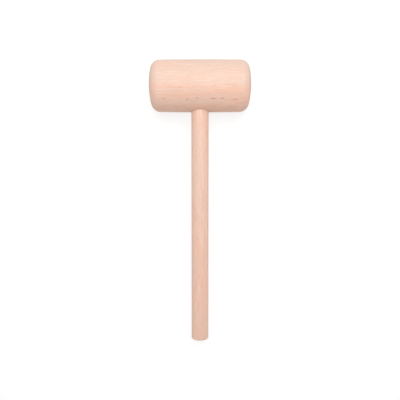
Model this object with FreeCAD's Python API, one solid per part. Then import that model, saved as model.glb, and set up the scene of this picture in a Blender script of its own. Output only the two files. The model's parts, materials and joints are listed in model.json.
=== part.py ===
"""Small turned beech mallet: a barrel-shaped head on a plain round handle, glued into a blind socket.

The mallet is drawn square to its own axes first: the head's axis runs along X, the handle leaves the head
along -Y, and the two axes cross at the origin. It is then laid down the way it comes to rest on a table, on
the belly of the head and the edge of the handle's end, with the origin on the table under its middle.
Millimetres throughout.
"""

import FreeCAD, Part
import math
import os

from FreeCAD import Placement, Rotation, Vector

# Head
HEAD_LENGTH = 70.0  # over the two striking faces
HEAD_DIAMETER = 35.4  # at mid-length, the fullest part of the barrel
BARREL_RADIUS = 2000.0  # lengthwise swell, which leaves the shoulders about 35 mm across
SHOULDER_RADIUS = 6.3  # rounding between the barrel and a striking face
FACE_RADIUS = 59.0  # gentle dome of a striking face

# Handle
HANDLE_DIAMETER = 12.0  # a stock dowel
OVERALL_LENGTH = 196.0  # crown of the head to the end of the handle
END_ARRIS_RADIUS = 0.5  # sanded edge of the free end

# Socket and tenon
SOCKET_DIAMETER = 11.6
SOCKET_DEPTH = 26.0  # below the belly line of the barrel
SPUR_DIAMETER = 3.0  # pit left by the point of the drill
SPUR_TIP_DIAMETER = 0.4  # the drill's point is not quite sharp
SPUR_DEPTH = 1.5
TENON_DIAMETER = 11.4  # the difference is filled with glue
TENON_END_GAP = 0.8  # glue left under the end of the tenon
TENON_CHAMFER = 1.0
TAPER_LENGTH = 4.0  # full-size handle down to the socket's size, driven tight into the socket's mouth
TAPER_STANDS_OUT = 0.5  # how far the taper's large end is clear of the belly line

CUT_OVERRUN = 2.0  # how far the solid that cuts the socket stands out of the head

# Derived sizes. Places along the handle are measured from the head's axis, positive towards the crown.
HEAD_RADIUS = HEAD_DIAMETER / 2
HANDLE_RADIUS = HANDLE_DIAMETER / 2
SOCKET_RADIUS = SOCKET_DIAMETER / 2
TENON_RADIUS = TENON_DIAMETER / 2
FREE_END = HEAD_RADIUS - OVERALL_LENGTH
TAPER_LARGE_END = -HEAD_RADIUS - TAPER_STANDS_OUT
TAPER_SMALL_END = TAPER_LARGE_END + TAPER_LENGTH
SOCKET_FLOOR = SOCKET_DEPTH - HEAD_RADIUS
TENON_END = SOCKET_FLOOR - TENON_END_GAP

ORIGIN = Vector(0, 0, 0)
HEAD_AXIS = Vector(1, 0, 0)
HANDLE_AXIS = Vector(0, 1, 0)


def arc(centre, radius, start_angle, end_angle):
    """Arc in the XY plane about centre, between two angles in radians from +X."""

    def point(angle):
        return centre + Vector(radius * math.cos(angle), radius * math.sin(angle), 0)

    middle_angle = (start_angle + end_angle) / 2
    return Part.Arc(point(start_angle), point(middle_angle), point(end_angle)).toShape()


def direction_angle(start, end):
    """Angle from +X of the way from start to end, in the XY plane."""
    return math.atan2(end.y - start.y, end.x - start.x)


def shoulder_centre(barrel_centre, face_centre):
    """Centre of the shoulder's rounding, which touches the barrel and the striking face from inside."""
    to_barrel = BARREL_RADIUS - SHOULDER_RADIUS
    to_face = FACE_RADIUS - SHOULDER_RADIUS
    between = face_centre - barrel_centre
    spacing = between.Length
    along = (to_barrel**2 - to_face**2 + spacing**2) / (2 * spacing)
    aside = math.sqrt(to_barrel**2 - along**2)
    way = between / spacing
    return barrel_centre + way * along + Vector(way.y, -way.x, 0) * aside


def lines(corners):
    """Straight edges from each corner to the next, in the XY plane."""
    points = [Vector(x, y, 0) for x, y in corners]
    return [Part.makeLine(start, end) for start, end in zip(points, points[1:])]


def revolved(edges, axis):
    """Solid made by turning a closed outline about an axis through the origin."""
    return Part.Face(Part.Wire(edges)).revolve(ORIGIN, axis, 360)


def turned_blank():
    """The head as it comes off the lathe: three tangent arcs from mid-length to each face."""
    barrel_centre = Vector(0, HEAD_RADIUS - BARREL_RADIUS, 0)
    face_centre = Vector(HEAD_LENGTH / 2 - FACE_RADIUS, 0, 0)
    shoulder = shoulder_centre(barrel_centre, face_centre)
    barrel_angle = direction_angle(barrel_centre, shoulder)
    face_angle = direction_angle(face_centre, shoulder)

    barrel = arc(barrel_centre, BARREL_RADIUS, math.pi - barrel_angle, barrel_angle)
    right_shoulder = arc(shoulder, SHOULDER_RADIUS, barrel_angle, face_angle)
    right_face = arc(face_centre, FACE_RADIUS, face_angle, 0)
    right = [right_shoulder, right_face]
    left = [edge.mirror(ORIGIN, HEAD_AXIS) for edge in right]
    face_apex = Vector(HEAD_LENGTH / 2, 0, 0)
    axis_line = Part.makeLine(face_apex, -face_apex)
    return revolved(Part.__sortEdges__([barrel, *right, *left, axis_line]), HEAD_AXIS)


def socket_space():
    """What the socket takes away: a flat-bottomed bore with the drill's pit, and a mouth for the taper."""
    outside = TAPER_LARGE_END - CUT_OVERRUN
    corners = [
        (0, outside),
        (HANDLE_RADIUS, outside),
        (HANDLE_RADIUS, TAPER_LARGE_END),
        (SOCKET_RADIUS, TAPER_SMALL_END),
        (SOCKET_RADIUS, SOCKET_FLOOR),
        (SPUR_DIAMETER / 2, SOCKET_FLOOR),
        (SPUR_TIP_DIAMETER / 2, SOCKET_FLOOR + SPUR_DEPTH),
        (0, SOCKET_FLOOR + SPUR_DEPTH),
        (0, outside),
    ]
    return revolved(lines(corners), HANDLE_AXIS)


def make_handle():
    """Dowel with a sanded free end, a short taper where it enters the head, and a chamfered tenon."""
    arris_start = FREE_END + END_ARRIS_RADIUS
    arris_centre = Vector(HANDLE_RADIUS - END_ARRIS_RADIUS, arris_start, 0)
    free_end_arris = arc(arris_centre, END_ARRIS_RADIUS, -math.pi / 2, 0)
    corners = [
        (HANDLE_RADIUS, arris_start),
        (HANDLE_RADIUS, TAPER_LARGE_END),
        (SOCKET_RADIUS, TAPER_SMALL_END),
        (TENON_RADIUS, TAPER_SMALL_END),
        (TENON_RADIUS, TENON_END - TENON_CHAMFER),
        (TENON_RADIUS - TENON_CHAMFER, TENON_END),
        (0, TENON_END),
        (0, FREE_END),
        (HANDLE_RADIUS - END_ARRIS_RADIUS, FREE_END),
    ]
    return revolved([free_end_arris, *lines(corners)], HANDLE_AXIS)


def resting_placement():
    """Tilts the mallet until the handle's end touches the table, and centres it over the origin."""
    # The end touches on its arris, whose centre circle lies this far along and out from the handle's axis.
    along = -FREE_END - END_ARRIS_RADIUS
    out = HANDLE_RADIUS - END_ARRIS_RADIUS
    drop = HEAD_RADIUS - END_ARRIS_RADIUS
    tilt = math.asin(drop / math.hypot(along, out)) - math.atan2(out, along)
    reach_of_end = along * math.cos(tilt) + out * math.sin(tilt) + END_ARRIS_RADIUS
    head_centre_y = (reach_of_end - HEAD_RADIUS) / 2
    print(f"tilt {math.degrees(tilt):.4f} degrees, head's centre at y {head_centre_y:.4f}")
    return Placement(
        Vector(0, head_centre_y, HEAD_RADIUS), Rotation(HEAD_AXIS, math.degrees(tilt))
    )


def main():
    socket = socket_space()
    handle = make_handle()
    nodes = {
        "head": turned_blank().cut(socket),
        "handle": handle,
        "glue_film": socket.cut(handle),
    }
    resting = resting_placement()
    os.makedirs("parts", exist_ok=True)
    for name, shape in nodes.items():
        solid = shape.Solids[0]
        solid.Placement = resting
        if len(shape.Solids) != 1 or not solid.isValid():
            raise RuntimeError(f"{name} is not one valid solid")
        solid.exportStep(f"parts/{name}.step")
        print(f"{name}: {solid.Volume:.1f} mm3")


main()
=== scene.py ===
"""The mallet's looks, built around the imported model: turned head and dowel handle on a white table.

Sizes are in metres, except within the beech, which is set out in millimetres. Both wooden pieces are made
in the mallet's own axes, before it is laid down: the origin at the middle of the head, X along the head,
and the handle leaving along -Y.
"""

import json
import math

import bmesh
import bpy
from mathutils import Matrix, Vector


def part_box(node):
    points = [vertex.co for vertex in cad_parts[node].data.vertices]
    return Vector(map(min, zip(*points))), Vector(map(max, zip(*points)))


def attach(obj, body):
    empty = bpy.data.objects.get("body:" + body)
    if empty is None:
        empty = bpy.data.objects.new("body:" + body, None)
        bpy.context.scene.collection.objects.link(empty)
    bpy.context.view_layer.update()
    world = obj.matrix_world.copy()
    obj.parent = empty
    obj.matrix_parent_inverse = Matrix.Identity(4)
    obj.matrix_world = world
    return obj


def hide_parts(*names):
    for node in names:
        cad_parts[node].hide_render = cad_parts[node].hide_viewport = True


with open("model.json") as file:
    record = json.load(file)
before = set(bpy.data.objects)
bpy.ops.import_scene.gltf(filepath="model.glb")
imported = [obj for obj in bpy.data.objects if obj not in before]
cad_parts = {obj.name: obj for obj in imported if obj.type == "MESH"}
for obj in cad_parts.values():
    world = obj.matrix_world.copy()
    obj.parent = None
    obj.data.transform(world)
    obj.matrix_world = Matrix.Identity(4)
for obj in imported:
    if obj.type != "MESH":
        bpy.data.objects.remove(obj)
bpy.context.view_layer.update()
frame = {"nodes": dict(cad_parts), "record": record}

MM = 0.001

# ------------------------------------------------------------------------------------------------------
# Sizes, from the frame where it states them. Places along the handle are measured from the head's axis,
# positive towards the crown.
# ------------------------------------------------------------------------------------------------------

MOUNTS = {mount["name"]: mount for mount in frame["record"]["mounts"]}
HEAD_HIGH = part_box("head")[1]
HEAD_RADIUS = HEAD_HIGH.z / 2
HEAD_HALF_LENGTH = HEAD_HIGH.x
HEAD_CENTRE = Vector((0, HEAD_HIGH.y - HEAD_RADIUS, HEAD_RADIUS))
BARREL_RADIUS = 2.0  # lengthwise swell
SHOULDER_RADIUS = 6.3 * MM  # rounding between the barrel and a striking face
FACE_RADIUS = 59 * MM  # gentle dome of a striking face

HANDLE_DIRECTION = Vector(MOUNTS["handle_end"]["axis"]).normalized()
HANDLE_RADIUS = MOUNTS["handle_shank"]["dims"]["r_mm"] * MM
FREE_END = -(Vector(MOUNTS["handle_end"]["pos_m"]) - HEAD_CENTRE).length
ARRIS_RADIUS = 0.5 * MM  # sanded edge of the free end

SOCKET_RADIUS = 5.8 * MM
SOCKET_DEPTH = 26 * MM  # below the belly line of the barrel
SOCKET_FLOOR = SOCKET_DEPTH - HEAD_RADIUS
MOUTH_EASE = 0.15 * MM  # rounding of the socket's rim
PIT_RADIUS = 1.5 * MM  # left in the socket's floor by the point of the drill
PIT_TIP_RADIUS = 0.2 * MM
PIT_DEPTH = 1.5 * MM
TENON_RADIUS = 5.7 * MM
TENON_END_GAP = 0.8 * MM  # filled with glue
TENON_END = SOCKET_FLOOR - TENON_END_GAP
TENON_CHAMFER = 1.0 * MM
TAPER_STANDS_OUT = 0.5 * MM  # how far the taper's large end is clear of the belly line
TAPER_LENGTH = 4 * MM  # full-size handle down to the socket's size
TAPER_LARGE_END = -HEAD_RADIUS - TAPER_STANDS_OUT
TAPER_SMALL_END = TAPER_LARGE_END + TAPER_LENGTH

TILT = math.asin(-HANDLE_DIRECTION.z)
RESTING = Matrix.Translation(HEAD_CENTRE) @ Matrix.Rotation(TILT, 4, "X")

# Density of the meshes
HEAD_SEGMENTS = 192
BARREL_SPANS = 96
SHOULDER_SPANS = 14
FACE_SPANS = 10
FACE_CORE = 7 * MM  # radius of the middle of a striking face, which a grid closes
PATCH_HALF_SPANS = 14  # from the middle of the patch round the socket to each of its sides
PATCH_RINGS = 8
PATCH_CROWDING = 1.5  # above 1, these rings are closer together near the socket's rim
EASE_SPANS = 4
MOUTH_SPANS = 5
WALL_SPANS = 24
FLOOR_SPANS = 5
PIT_SPANS = 3
HANDLE_SEGMENTS = 128
SHANK_SPANS = 120
ARRIS_SPANS = 6
TAPER_SPANS = 6
TENON_SPANS = 16
SHARP_EDGE = math.radians(40)  # an edge that turns by more than this isn't shaded smooth


# ------------------------------------------------------------------------------------------------------
# Meshes
# ------------------------------------------------------------------------------------------------------


class Skin:
    """Points and faces of one closed surface, put together ring by ring."""

    def __init__(self):
        self.points = []
        self.faces = []

    def add(self, points):
        """Adds points and returns their numbers."""
        start = len(self.points)
        self.points.extend(points)
        return list(range(start, len(self.points)))

    def bridge(self, ring, next_ring, skip=()):
        """Faces between two closed rings of as many points, except at the places in skip."""
        for place in range(len(ring)):
            if place not in skip:
                after = (place + 1) % len(ring)
                self.faces.append((ring[place], ring[after], next_ring[after], next_ring[place]))

    def bridge_all(self, rings):
        """Faces between each ring and the next."""
        for ring, next_ring in zip(rings, rings[1:]):
            self.bridge(ring, next_ring)

    def fill(self, ring, point):
        """Closes a ring with a grid of faces. point(p, q) gives a place for a point of the unit disc."""
        # A square grid is pressed into the disc until its outermost lines lie on the ring.
        side = len(ring) // 4
        turns = [math.pi / 2 * (k / side - 0.5) for k in range(side + 1)]
        lines = [math.sqrt(2) * math.sin(turn) for turn in turns]
        inner = {}
        for i in range(1, side):
            for j in range(1, side):
                u, v = lines[i], lines[j]
                p = u * math.sqrt(1 - v * v / 2)
                q = v * math.sqrt(1 - u * u / 2)
                inner[i, j] = self.add([point(p, q)])[0]

        def number(i, j):
            """Number of the point where two lines of the grid cross."""
            if (i, j) in inner:
                return inner[i, j]
            if i == side:
                place = j - side // 2
            elif j == side:
                place = side // 2 + side - i
            elif i == 0:
                place = side + side // 2 + side - j
            else:
                place = 2 * side + side // 2 + i
            return ring[place % len(ring)]

        for i in range(side):
            for j in range(side):
                corners = ((i, j), (i + 1, j), (i + 1, j + 1), (i, j + 1))
                self.faces.append([number(*corner) for corner in corners])

    def make(self, name):
        """A smooth-shaded object of this surface, laid down in the frame."""
        mesh = bpy.data.meshes.new(name)
        mesh.from_pydata(self.points, [], self.faces)
        mesh.transform(RESTING)
        work = bmesh.new()
        work.from_mesh(mesh)
        loose = [point for point in work.verts if not point.link_faces]
        bmesh.ops.delete(work, geom=loose, context="VERTS")
        bmesh.ops.recalc_face_normals(work, faces=work.faces)
        work.to_mesh(mesh)
        work.free()
        mesh.shade_smooth()
        mesh.set_sharp_from_angle(angle=SHARP_EDGE)
        piece = bpy.data.objects.new(name, mesh)
        bpy.context.scene.collection.objects.link(piece)
        return piece


def spread(start, end, spans):
    """Evenly spaced numbers from start to end, both included."""
    return [start + (end - start) * k / spans for k in range(spans + 1)]


def barrel_radius_at(x):
    """Radius of the barrel at a distance from mid-length."""
    return HEAD_RADIUS - BARREL_RADIUS + math.sqrt(BARREL_RADIUS**2 - x * x)


def face_place(radius):
    """Distance of a striking face from mid-length, at a distance from the head's axis."""
    return HEAD_HALF_LENGTH - FACE_RADIUS + math.sqrt(FACE_RADIUS**2 - radius**2)


def head_outline():
    """(x, radius) from mid-length outwards to the flat-looking middle of a face: barrel, shoulder, dome."""
    barrel_centre = Vector((0, HEAD_RADIUS - BARREL_RADIUS))
    face_centre = Vector((HEAD_HALF_LENGTH - FACE_RADIUS, 0))
    to_barrel = BARREL_RADIUS - SHOULDER_RADIUS
    to_face = FACE_RADIUS - SHOULDER_RADIUS
    between = face_centre - barrel_centre
    along = (to_barrel**2 - to_face**2 + between.length_squared) / (2 * between.length)
    aside = math.sqrt(to_barrel**2 - along**2)
    way = between.normalized()
    shoulder = barrel_centre + way * along + Vector((way.y, -way.x)) * aside

    barrel_end = math.atan2(shoulder.y - barrel_centre.y, shoulder.x)
    face_start = math.atan2(shoulder.y, shoulder.x - face_centre.x)
    barrel_x = BARREL_RADIUS * math.cos(barrel_end)
    outline = [(x, barrel_radius_at(x)) for x in spread(0, barrel_x, BARREL_SPANS // 2)]
    for angle in spread(barrel_end, face_start, SHOULDER_SPANS)[1:]:
        x = shoulder.x + SHOULDER_RADIUS * math.cos(angle)
        outline.append((x, shoulder.y + SHOULDER_RADIUS * math.sin(angle)))
    face_edge = FACE_RADIUS * math.sin(face_start)
    outline += [(face_place(r), r) for r in spread(face_edge, FACE_CORE, FACE_SPANS)[1:]]
    return outline


def belly_point(x, z):
    """Point of the barrel's belly over (x, z), looking along the handle."""
    return Vector((x, -math.sqrt(barrel_radius_at(x) ** 2 - z * z), z))


def taper_radius(y):
    """Radius of the handle's taper, and of the socket's mouth around it."""
    share = (y - TAPER_LARGE_END) / (TAPER_SMALL_END - TAPER_LARGE_END)
    return HANDLE_RADIUS + (SOCKET_RADIUS - HANDLE_RADIUS) * share


def around_handle(radius, y, angle):
    """Point at a distance from the handle's axis, at a place along it and an angle round it."""
    return Vector((radius * math.cos(angle), y, radius * math.sin(angle)))


def head_rings(skin):
    """The turned surface, from the middle of one face to that of the other, left open round the socket."""
    half = head_outline()
    stations = [(-x, radius) for x, radius in reversed(half[1:])] + half
    angles = [2 * math.pi * k / HEAD_SEGMENTS for k in range(HEAD_SEGMENTS)]
    rings = []
    for x, radius in stations:
        ring = [Vector((x, -radius * math.cos(a), radius * math.sin(a))) for a in angles]
        rings.append(skin.add(ring))

    # The rings run through the opening too. Its inner points get no faces, and make() takes them away.
    middle = len(stations) // 2
    patch = range(middle - PATCH_HALF_SPANS, middle + PATCH_HALF_SPANS)
    open_places = {k % HEAD_SEGMENTS for k in range(-PATCH_HALF_SPANS, PATCH_HALF_SPANS)}
    for k in range(len(rings) - 1):
        skin.bridge(rings[k], rings[k + 1], open_places if k in patch else ())
    for ring, side in ((rings[0], -1), (rings[-1], 1)):
        skin.fill(ring, lambda p, q, s=side: face_point(s, p, q))
    return rings, middle


def face_point(side, p, q):
    """Point in the middle of a striking face, for the point (p, q) of the unit disc."""
    radius = FACE_CORE * math.hypot(p, q)
    return Vector((side * face_place(radius), -FACE_CORE * p, FACE_CORE * q))


def patch_edge(rings, middle):
    """Numbers of the points round the opening, in order round the handle."""
    half = PATCH_HALF_SPANS
    steps = range(-half, half)
    edge = [rings[middle + half][k] for k in steps]
    edge += [rings[middle - k][half] for k in steps]
    edge += [rings[middle - half][-k] for k in steps]
    edge += [rings[middle + k][-half] for k in steps]
    return edge


def patch_rings(skin, corners, angles, rim_radius):
    """Rings on the belly, from the opening's corners in to the socket's rim."""
    rings = []
    for share in spread(0, 1, PATCH_RINGS)[1:]:
        ring = []
        for corner, angle in zip(corners, angles):
            rim = around_handle(rim_radius, 0, angle)
            place = corner.lerp(rim, 1 - (1 - share) ** PATCH_CROWDING)
            ring.append(belly_point(place.x, place.z))
        rings.append(skin.add(ring))
    return rings


def mouth_rings(skin, angles, rim_radius):
    """Rings round the eased rim of the socket, then down its taper to the bore."""
    rings = []
    rim = [belly_point(rim_radius * math.cos(a), rim_radius * math.sin(a)) for a in angles]
    for turn in spread(0, math.pi / 2, EASE_SPANS)[1:]:
        ring = []
        for point, angle in zip(rim, angles):
            y = point.y + MOUTH_EASE * (1 - math.cos(turn))
            wall = taper_radius(y)
            radius = wall + (rim_radius - wall) * (1 - math.sin(turn))
            ring.append(around_handle(radius, y, angle))
        rings.append(skin.add(ring))

    mouth = [skin.points[number].y for number in rings[-1]]
    for share in spread(0, 1, MOUTH_SPANS)[1:]:
        ring = []
        for start, angle in zip(mouth, angles):
            y = start + (TAPER_SMALL_END - start) * share
            ring.append(around_handle(taper_radius(y), y, angle))
        rings.append(skin.add(ring))
    return rings


def bore_rings(skin, angles):
    """Rings down the bore's wall, in over its floor and up the pit of the drill's point."""
    wall = [(SOCKET_RADIUS, y) for y in spread(TAPER_SMALL_END, SOCKET_FLOOR, WALL_SPANS)[1:]]
    floor = [(radius, SOCKET_FLOOR) for radius in spread(SOCKET_RADIUS, PIT_RADIUS, FLOOR_SPANS)[1:]]
    pit = []
    for share in spread(0, 1, PIT_SPANS)[1:]:
        radius = PIT_RADIUS + (PIT_TIP_RADIUS - PIT_RADIUS) * share
        pit.append((radius, SOCKET_FLOOR + PIT_DEPTH * share))
    return [
        skin.add([around_handle(radius, y, angle) for angle in angles])
        for radius, y in wall + floor + pit
    ]


def cut_socket(skin, edge):
    """The patch of belly round the socket, its mouth, and its bore with the drill's pit."""
    corners = [skin.points[number] for number in edge]
    angles = [math.atan2(corner.z, corner.x) for corner in corners]
    rim_radius = taper_radius(-HEAD_RADIUS) + MOUTH_EASE
    rings = [edge]
    rings += patch_rings(skin, corners, angles, rim_radius)
    rings += mouth_rings(skin, angles, rim_radius)
    rings += bore_rings(skin, angles)
    skin.bridge_all(rings)
    tip_level = SOCKET_FLOOR + PIT_DEPTH
    skin.fill(rings[-1], lambda p, q: Vector((PIT_TIP_RADIUS * p, tip_level, PIT_TIP_RADIUS * q)))


def make_head():
    """Turned head, with the socket for the handle."""
    skin = Skin()
    rings, middle = head_rings(skin)
    cut_socket(skin, patch_edge(rings, middle))
    return skin.make("turned_head")


def make_handle():
    """Dowel from its free end to the tip of its tenon."""
    arris = []
    for turn in spread(0, math.pi / 2, ARRIS_SPANS):
        radius = HANDLE_RADIUS - ARRIS_RADIUS * (1 - math.sin(turn))
        arris.append((radius, FREE_END + ARRIS_RADIUS * (1 - math.cos(turn))))
    arris_start = FREE_END + ARRIS_RADIUS
    shank = [(HANDLE_RADIUS, y) for y in spread(arris_start, TAPER_LARGE_END, SHANK_SPANS)[1:]]
    taper = [(taper_radius(y), y) for y in spread(TAPER_LARGE_END, TAPER_SMALL_END, TAPER_SPANS)[1:]]
    chamfer_start = TENON_END - TENON_CHAMFER
    tenon = [(TENON_RADIUS, y) for y in spread(TAPER_SMALL_END, chamfer_start, TENON_SPANS)]
    tip = (TENON_RADIUS - TENON_CHAMFER, TENON_END)

    skin = Skin()
    angles = [2 * math.pi * k / HANDLE_SEGMENTS for k in range(HANDLE_SEGMENTS)]
    rings = [
        skin.add([around_handle(radius, y, angle) for angle in angles])
        for radius, y in arris + shank + taper + tenon + [tip]
    ]
    skin.bridge_all(rings)
    for ring, (radius, y) in ((rings[0], arris[0]), (rings[-1], tip)):
        skin.fill(ring, lambda p, q, r=radius, level=y: Vector((r * p, level, r * q)))
    return skin.make("dowel_handle")


# ------------------------------------------------------------------------------------------------------
# Materials
# ------------------------------------------------------------------------------------------------------


class Nodes:
    """Short calls for building the nodes of a material or of the world."""

    def __init__(self, owner):
        self.owner = owner
        owner.use_nodes = True
        self.tree = owner.node_tree
        self.shader = self.tree.nodes.get("Principled BSDF")

    def new(self, kind, **settings):
        node = self.tree.nodes.new(kind)
        for setting, value in settings.items():
            setattr(node, setting, value)
        return node

    def put(self, socket, value):
        """Links value to the socket if it is another socket, or sets the socket to it."""
        if isinstance(value, bpy.types.NodeSocket):
            self.tree.links.new(value, socket)
        else:
            socket.default_value = value

    def math(self, operation, *values):
        node = self.new("ShaderNodeMath", operation=operation)
        for socket, value in zip(node.inputs, values):
            self.put(socket, value)
        return node.outputs[0]

    def times(self, first, second):
        return self.math("MULTIPLY", first, second)

    def plus(self, first, second):
        return self.math("ADD", first, second)

    def less(self, first, second):
        return self.math("SUBTRACT", first, second)

    def vector(self, x, y, z):
        node = self.new("ShaderNodeCombineXYZ")
        for socket, value in zip(node.inputs, (x, y, z)):
            self.put(socket, value)
        return node.outputs[0]

    def vector_math(self, operation, *vectors):
        node = self.new("ShaderNodeVectorMath", operation=operation)
        for socket, value in zip(node.inputs, vectors):
            self.put(socket, value)
        return node.outputs["Value" if operation in ("LENGTH", "DOT_PRODUCT") else "Vector"]

    def split(self, vector):
        """The three values in a vector or a colour."""
        node = self.new("ShaderNodeSeparateXYZ")
        self.put(node.inputs[0], vector)
        return node.outputs[:]

    def stretched(self, values, sizes):
        """A vector of the values, each divided by its size."""
        return self.vector(*[self.math("DIVIDE", value, size) for value, size in zip(values, sizes)])

    def noise(self, place, detail=2.0, roughness=0.5, scale=1.0):
        node = self.new("ShaderNodeTexNoise")
        self.put(node.inputs["Vector"], place)
        self.put(node.inputs["Scale"], scale)
        self.put(node.inputs["Detail"], detail)
        self.put(node.inputs["Roughness"], roughness)
        return node.outputs["Fac"]

    def cells(self, place, scale=1.0, randomness=1.0, dimensions="3D"):
        """Random cells: the distance to the nearest one's point, that point's place, and its own colour."""
        node = self.new("ShaderNodeTexVoronoi", voronoi_dimensions=dimensions)
        self.put(node.inputs["Vector"], place)
        self.put(node.inputs["Scale"], scale)
        self.put(node.inputs["Randomness"], randomness)
        return node.outputs["Distance"], node.outputs["Position"], node.outputs["Color"]

    def chance(self, number):
        """A random value from 0 to 1, always the same for the same number."""
        node = self.new("ShaderNodeTexWhiteNoise", noise_dimensions="1D")
        self.put(node.inputs["W"], number)
        return node.outputs["Value"]

    def step(self, value, low, high, to_low=0.0, to_high=1.0):
        """Smooth change from to_low at low to to_high at high."""
        node = self.new("ShaderNodeMapRange", interpolation_type="SMOOTHSTEP")
        for socket, number in zip(node.inputs, (value, low, high, to_low, to_high)):
            self.put(socket, number)
        return node.outputs[0]

    def mix(self, share, first, second):
        """A mix of two colours, from all of the first at 0 to all of the second at 1."""
        node = self.new("ShaderNodeMix", data_type="RGBA")
        self.put(node.inputs[0], share)
        for socket, colour in ((node.inputs[6], first), (node.inputs[7], second)):
            self.put(socket, colour if isinstance(colour, bpy.types.NodeSocket) else (*colour, 1))
        return node.outputs[2]

    def bump(self, height, distance, strength=1.0):
        """Raises the surface by height, which is worth distance metres at 1."""
        node = self.new("ShaderNodeBump")
        self.put(node.inputs["Height"], height)
        self.put(node.inputs["Distance"], distance)
        self.put(node.inputs["Strength"], strength)
        self.put(self.shader.inputs["Normal"], node.outputs[0])


# Beech, in millimetres
WANDER = 2.5  # the most that the grain strays from straight, from one side to the other
WANDER_SIZE = (45, 14)  # along and across the grain, over which it strays
LEAN = (0.2, 0.75)  # over which a cut comes to lean across the fibres: 0 is along them, 1 square to them
SQUARE = (0.80, 0.99)  # over which it comes to show end grain
RING_WIDTH = 2.4
RING_DRIFT = 2.4  # in rings: the most that uneven spacing puts the count ahead
RING_DRIFT_REACH = 6.0  # towards the pith, over which that spacing changes
RING_LINE_POWER = 5.0  # the higher, the thinner the dark line at the end of a ring
RING_LINE_STRENGTH = (0.4, 1.3)  # the least and the most, since no two years are alike
RAY_ROWS = 4.6  # round the pith, from one row of broad rays to the next
RAY_SPACING = 7.5  # along a row, from one broad ray to the next, on average
RAY_DEPTH = 9.0  # how far a broad ray goes towards the pith, on average
RAY_SCATTER = 0.8  # from 0, evenly spaced along a row, to 1, wherever they fall
RAY_NARROWING = 1.3  # how fast a ray thins out with depth, away from its middle
RAY_SOLID = 0.3  # the share of the way from a ray's middle to its outline where it starts to fade
RAY_THICKNESS = 1.1
RAY_SHORTEST = 2.2
RAY_LONGEST = 6.0
TICK_SIZE = (2.8, 0.55, 3.0)  # fine rays: along the grain, round the pith, towards it
SHEET_SIZE = (4.0, 0.25, 6.0)  # the lines that fine rays make on end grain, the same three ways
ROW_SHIFT = (7.31, 3.17)  # in cells, so that neighbouring rows of rays are unlike each other
BAND_SIZE = (60, 4.5)  # wide bands of colour: along the grain and across it
FIBRE_SIZE = (6, 0.3)
PORE_SIZE = (2.2, 0.12)

CREAM = (0.630, 0.477, 0.390)  # paler wood away from the heart; partly painted highlight on the head
PINK = (0.707, 0.442, 0.331)  # the wood nearer the heart
PALE_THREAD = (0.707, 0.548, 0.457)
ROSE_THREAD = (0.707, 0.420, 0.315)
LILAC = (0.640, 0.457, 0.411)
RAY = (0.365, 0.165, 0.115)
END_GRAIN = (0.557, 0.366, 0.261)

FIBRE_ROUGHNESS = (0.54, 0.66)  # of the smoothest and of the dullest
PORE_DULLNESS = 0.12  # added to that roughness, as is the next
END_DULLNESS = 0.12
RAY_GLOSS = 0.14  # taken from it
WOOD_IOR = 1.5
RELIEF = 0.04 * MM  # in metres: what a height of 1 is worth
RELIEF_STRENGTH = 0.6


class Board(Nodes):
    """A material of beech, which knows where each point lies in the board that the piece was cut from.

    grain_axis is the axis of the mallet that the wood grows along, 0 for X or 1 for Y. pith is where the
    middle of the tree would be, in millimetres across the grain, and start how far along its board the
    piece begins.
    """

    def __init__(self, name, grain_axis, pith, start):
        super().__init__(bpy.data.materials.new(name))
        place = self.new("ShaderNodeTexCoord")
        bench = self.new("ShaderNodeMapping", vector_type="TEXTURE")
        self.put(bench.inputs["Vector"], place.outputs["Object"])
        self.put(bench.inputs["Location"], HEAD_CENTRE)
        self.put(bench.inputs["Rotation"], (TILT, 0, 0))
        self.put(bench.inputs["Scale"], (MM, MM, MM))
        parts = self.split(bench.outputs[0])
        self.along = self.plus(parts[grain_axis], start)
        self.across = parts[1 - grain_axis]
        self.up = parts[2]

        # How far from the pith a point is, and how far round it
        wander = self.times(self.less(self.grain(*WANDER_SIZE), 0.5), WANDER)
        across = self.plus(self.less(self.across, pith[0]), wander)
        up = self.plus(self.less(self.up, pith[1]), wander)
        self.reach = self.math("SQRT", self.plus(self.times(across, across), self.times(up, up)))
        self.girth = self.times(self.math("ARCTAN2", up, across), math.hypot(*pith))

        # Where the cut leans across the fibres, as on the shoulders, and where it is square to them
        way = RESTING.col[grain_axis].xyz
        facing = self.math("ABSOLUTE", self.vector_math("DOT_PRODUCT", place.outputs["Normal"], way))
        self.lean = self.step(facing, *LEAN)
        self.square = self.step(facing, *SQUARE)

    def grain(self, length, width, detail=2.0, roughness=0.5):
        """Noise drawn out along the grain, with features of this length and width in millimetres."""
        place = self.stretched((self.along, self.across, self.up), (length, width, width))
        return self.noise(place, detail, roughness)

    def round_pith(self, sizes):
        """Places measured along the grain, round the pith and towards it, each divided by its size."""
        return self.stretched((self.along, self.girth, self.reach), sizes)


def growth_rings(board, seed):
    """The change from cream to rose within each ring, and the thin darker line that it ends in."""
    unevenness = board.noise(board.vector(board.math("DIVIDE", board.reach, RING_DRIFT_REACH), seed, 0.0))
    drift = board.times(unevenness, RING_DRIFT)
    ring = board.plus(board.math("DIVIDE", board.reach, RING_WIDTH), drift)
    wave = board.math("MULTIPLY_ADD", board.math("SINE", board.times(ring, 2 * math.pi)), 0.5, 0.5)
    year = board.plus(ring, 0.25)  # so that it ends where the wood is palest
    line = board.math("POWER", board.math("FRACT", year), RING_LINE_POWER)
    strength = board.step(board.chance(board.math("FLOOR", year)), 0.0, 1.0, *RING_LINE_STRENGTH)
    return wave, board.times(line, strength)


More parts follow.
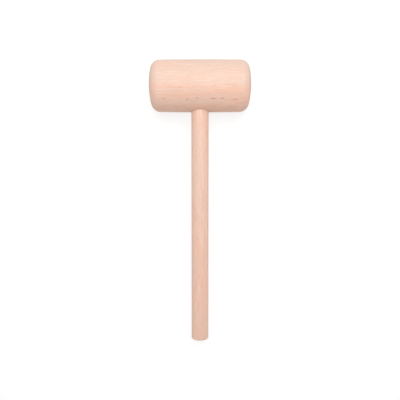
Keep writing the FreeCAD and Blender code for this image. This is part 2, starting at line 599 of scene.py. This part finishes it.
def broad_rays(board, pink_share, seed):
    """Dark spindles where broad rays are cut across, in rows along the grain, of unequal strength."""
    row = board.math("ROUND", board.math("DIVIDE", board.girth, RAY_ROWS))
    along_cells = board.math("DIVIDE", board.along, RAY_SPACING)
    deep_cells = board.math("DIVIDE", board.reach, RAY_DEPTH)
    where = board.vector(
        board.math("MULTIPLY_ADD", row, ROW_SHIFT[0], along_cells),
        board.math("MULTIPLY_ADD", row, ROW_SHIFT[1], deep_cells),
        0.0,
    )
    _, middle, colour = board.cells(where, randomness=RAY_SCATTER, dimensions="2D")
    ahead, deeper, _ = board.split(board.vector_math("SUBTRACT", where, middle))
    long, dark, offset = board.split(colour)
    length = board.step(long, 0.0, 1.0, RAY_SHORTEST, RAY_LONGEST)
    beside = board.less(board.girth, board.times(row, RAY_ROWS))
    beside = board.plus(beside, board.less(offset, 0.5))

    # 0 in the middle of a ray, 1 on its outline
    from_middle = board.vector(
        board.math("DIVIDE", board.times(ahead, RAY_SPACING * 2), length),
        board.math("DIVIDE", beside, RAY_THICKNESS / 2),
        board.times(deeper, RAY_NARROWING),
    )
    ray = board.step(board.vector_math("LENGTH", from_middle), 1.0, RAY_SOLID)

    # Rows differ, rays within a row differ less, and paler wood shows them all less
    row_strength = board.step(board.chance(board.plus(row, seed)), 0.1, 0.8, 0.1, 1.0)
    for strength in (
        board.step(dark, 0.0, 0.7, 0.4, 1.0),
        row_strength,
        # the head's lit cream side, partly painted highlight, gets weaker rays with it
        board.math("MULTIPLY_ADD", pink_share, 0.75, 0.25),
    ):
        ray = board.times(ray, strength)
    return ray


def fine_rays(board):
    """Fine rays, everywhere: ticks where they are cut across, and lines on end grain."""
    distance, _, colour = board.cells(board.round_pith(TICK_SIZE))
    tick = board.times(board.step(distance, 0.34, 0.12), board.split(colour)[0])
    line = board.step(board.noise(board.round_pith(SHEET_SIZE)), 0.52, 0.70)
    return tick, line


def threads(board, length):
    """Pale, rose and lilac threads of colour, which run along the grain."""
    pale = board.step(board.grain(length, 0.7), 0.50, 0.68)
    rose = board.step(board.grain(length * 1.4, 0.8), 0.50, 0.32)
    lilac = board.step(board.grain(length * 4, 3.0), 0.50, 0.68)
    return pale, rose, lilac


def sanded(board, fibre, pores, rays):
    """Dull fine-sanded wood: pores sink and are duller, rays are a little glossier and lie lower."""
    rough = board.step(fibre, 0.2, 0.8, *FIBRE_ROUGHNESS)
    rough = board.plus(rough, board.times(pores, PORE_DULLNESS))
    rough = board.less(rough, board.times(rays, RAY_GLOSS))
    rough = board.plus(rough, board.times(board.square, END_DULLNESS))
    board.put(board.shader.inputs["Roughness"], rough)
    board.put(board.shader.inputs["IOR"], WOOD_IOR)
    height = board.less(board.times(fibre, 0.6), board.times(pores, 0.8))
    board.bump(board.less(height, board.times(rays, 0.3)), RELIEF, RELIEF_STRENGTH)


def beech(name, grain_axis, pith, pink_reach, pink_blend, flecks, thread_length, start, seed):
    """Pale unfinished beech, as a solid texture: each surface shows the cut it would have in a real board.

    grain_axis, pith and start are as for Board. pink_reach is how far from the pith the pinker wood goes,
    and pink_blend how far to each side of that it fades. On the head the cream beyond lies on its lit side,
    where it is a real step in tone and partly painted highlight. flecks is how strongly the broad rays
    show, and thread_length the length of the thin threads of colour. seed chooses which rows of rays are
    strong.
    """
    board = Board(name, grain_axis, pith, start)
    # Pinker near the pith; the head's cream lit side is a real step in tone, partly painted highlight
    pink_share = board.step(board.reach, pink_reach - pink_blend, pink_reach + pink_blend, 1.0, 0.0)
    ring_wave, ring_line = growth_rings(board, seed)
    rays = broad_rays(board, pink_share, seed)
    ray_ticks, ray_lines = fine_rays(board)
    pale, rose, lilac = threads(board, thread_length)
    fibre = board.grain(*FIBRE_SIZE, 3.0, 0.6)
    pores = board.step(board.grain(*PORE_SIZE), 0.64, 0.74)

    # The wood's colour, in wide bands more or less pink; the head's lit cream side is partly painted
    # highlight
    band = board.step(board.grain(*BAND_SIZE, 3.0, 0.55), 0.35, 0.65, -0.3, 0.45)
    colour = board.mix(board.math("MULTIPLY_ADD", pink_share, 0.85, band), CREAM, PINK)
    colour = board.mix(board.times(board.square, 0.6), colour, END_GRAIN)

    # From broad to fine: what shows, how strongly on the sides and on end grain, the cut that its strength
    # changes with, and its colour
    lean, square = board.lean, board.square
    layers = (
        (pale, 0.75, 0.10, lean, PALE_THREAD),
        (rose, 0.35, 0.05, lean, ROSE_THREAD),
        (rose, 0.07, 0.02, lean, RAY),
        (ring_wave, 0.28, 0.30, square, ROSE_THREAD),
        (lilac, 0.35, 0.10, lean, LILAC),
        (ray_lines, 0.06, 0.18, square, RAY),
        (ring_line, 0.08, 0.22, square, RAY),
        (board.step(fibre, 0.35, 0.7), 0.12, 0.03, square, RAY),
        (ray_ticks, 0.15, 0.05, square, RAY),
        (rays, 0.85 * flecks, 0.22 * flecks, lean, RAY),
        (pores, 0.14, 0.20, square, RAY),
    )
    for shown, on_side, on_end, cut, tint in layers:
        strength = board.math("MULTIPLY_ADD", cut, on_end - on_side, on_side)
        colour = board.mix(board.times(shown, strength), colour, tint)
    board.put(board.shader.inputs["Base Color"], colour)
    sanded(board, fibre, pores, rays)
    return board.owner


GLUE_DEEP = (0.62, 0.47, 0.20)
GLUE_PALE = (0.78, 0.64, 0.36)
RIPPLES_PER_METRE = 600
BUBBLES_PER_METRE = 1400
GLUE_ROUGHNESS = (0.25, 0.45)
GLUE_RELIEF = 0.05 * MM


def wood_glue():
    """Cured yellow wood glue, with the ripples and small bubbles it sets with."""
    nodes = Nodes(bpy.data.materials.new("cured_wood_glue"))
    place = nodes.new("ShaderNodeTexCoord").outputs["Object"]
    ripple = nodes.noise(place, 3.0, 0.6, RIPPLES_PER_METRE)
    distance, _, _ = nodes.cells(place, BUBBLES_PER_METRE)
    bubble = nodes.step(distance, 0.22, 0.1)
    colour = nodes.mix(nodes.step(ripple, 0.3, 0.7), GLUE_DEEP, GLUE_PALE)
    nodes.put(nodes.shader.inputs["Base Color"], colour)
    nodes.put(nodes.shader.inputs["Roughness"], nodes.step(ripple, 0.3, 0.7, *GLUE_ROUGHNESS))
    nodes.bump(nodes.less(ripple, bubble), GLUE_RELIEF)
    return nodes.owner


def dress(piece, material):
    """Gives a piece this material and no other."""
    piece.data.materials.clear()
    piece.data.materials.append(material)


# ------------------------------------------------------------------------------------------------------
# Stage: white table, soft light from above and behind the head, camera straight overhead
# ------------------------------------------------------------------------------------------------------

TABLE_HALF_WIDTH = 3.0
TABLE_GREY = 0.2
TABLE_GLOW = 0.79  # most of the table's whiteness, which leaves only faint shadows on it
TABLE_ROUGHNESS = 0.9
TABLE_SPECULAR = 0.1
WHITE = (1, 1, 1, 1)
SKY_LOW, SKY_HIGH = 0.10, 0.80  # heights, as the sine of the elevation, between which the studio dims
SKY_BRIGHT, SKY_DIM = 0.95, 0.26

SOFTBOX_PLACE = (0.02, 0.15, 0.50)
SOFTBOX_AIM = (0, 0.03, 0)
SOFTBOX_SIZE = (0.5, 0.4)
SOFTBOX_POWER = 3.1

CAMERA_HEIGHT = 0.3043
CAMERA_PLACE = 0.0015  # along Y, from over the middle of the mallet
CAMERA_LENS = 37.24
CAMERA_NEAREST = 0.01  # what is closer than this isn't seen


def make_table():
    """White table top, which glows so that the shadows on it stay faint."""
    mesh = bpy.data.meshes.new("table_top")
    half = TABLE_HALF_WIDTH
    corners = [(-half, -half, 0), (half, -half, 0), (half, half, 0), (-half, half, 0)]
    mesh.from_pydata(corners, [], [(0, 1, 2, 3)])
    table = bpy.data.objects.new("table_top", mesh)
    bpy.context.scene.collection.objects.link(table)
    nodes = Nodes(bpy.data.materials.new("white_table"))
    nodes.put(nodes.shader.inputs["Base Color"], (TABLE_GREY, TABLE_GREY, TABLE_GREY, 1))
    nodes.put(nodes.shader.inputs["Roughness"], TABLE_ROUGHNESS)
    nodes.put(nodes.shader.inputs["Specular IOR Level"], TABLE_SPECULAR)
    nodes.put(nodes.shader.inputs["Emission Color"], WHITE)
    nodes.put(nodes.shader.inputs["Emission Strength"], TABLE_GLOW)
    dress(table, nodes.owner)


def make_softbox():
    """One large soft light, above and behind the head, which the camera doesn't see."""
    light = bpy.data.lights.new("softbox_overhead", "AREA")
    light.shape = "RECTANGLE"
    light.size, light.size_y = SOFTBOX_SIZE
    light.energy = SOFTBOX_POWER
    box = bpy.data.objects.new("softbox_overhead", light)
    box.location = SOFTBOX_PLACE
    down = Vector(SOFTBOX_AIM) - Vector(SOFTBOX_PLACE)
    box.rotation_euler = down.to_track_quat("-Z", "Y").to_euler()
    box.visible_camera = False
    bpy.context.scene.collection.objects.link(box)


def make_surroundings():
    """A white studio: bright all round at table height, dimmer overhead, where the softbox is."""
    nodes = Nodes(bpy.data.worlds.new("white_studio"))
    background = nodes.tree.nodes["Background"]
    nodes.put(background.inputs["Color"], WHITE)
    height = nodes.split(nodes.new("ShaderNodeTexCoord").outputs["Generated"])[2]
    brightness = nodes.step(height, SKY_LOW, SKY_HIGH, SKY_BRIGHT, SKY_DIM)
    nodes.put(background.inputs["Strength"], brightness)
    bpy.context.scene.world = nodes.owner


def make_camera():
    """Camera above the middle of the mallet, looking straight down."""
    camera = bpy.data.objects.new("camera", bpy.data.cameras.new("camera"))
    camera.data.lens = CAMERA_LENS
    camera.data.clip_start = CAMERA_NEAREST
    camera.location = (0, CAMERA_PLACE, CAMERA_HEIGHT)
    bpy.context.scene.collection.objects.link(camera)
    bpy.context.scene.camera = camera


# ------------------------------------------------------------------------------------------------------
# The scene
# ------------------------------------------------------------------------------------------------------

head = make_head()
# Pith and reach put the head's cream on its lit side, away from the handle: partly painted highlight
head_wood = beech(
    "beech_along_head", grain_axis=0, pith=(-46, 38.6), pink_reach=48.4, pink_blend=2.0, flecks=1.0,
    thread_length=8.0, start=389.4, seed=27.0,
)
dress(head, head_wood)
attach(head, "root")
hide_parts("head")

handle = make_handle()
handle_wood = beech(
    "beech_along_handle", grain_axis=1, pith=(60, 15), pink_reach=70, pink_blend=24, flecks=0.2,
    thread_length=14.0, start=47.0, seed=47.0,
)
dress(handle, handle_wood)
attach(handle, "root")
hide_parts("handle")

dress(frame["nodes"]["glue_film"], wood_glue())

make_table()
make_surroundings()
make_softbox()
make_camera()
bpy.context.scene.view_settings.view_transform = "Standard"
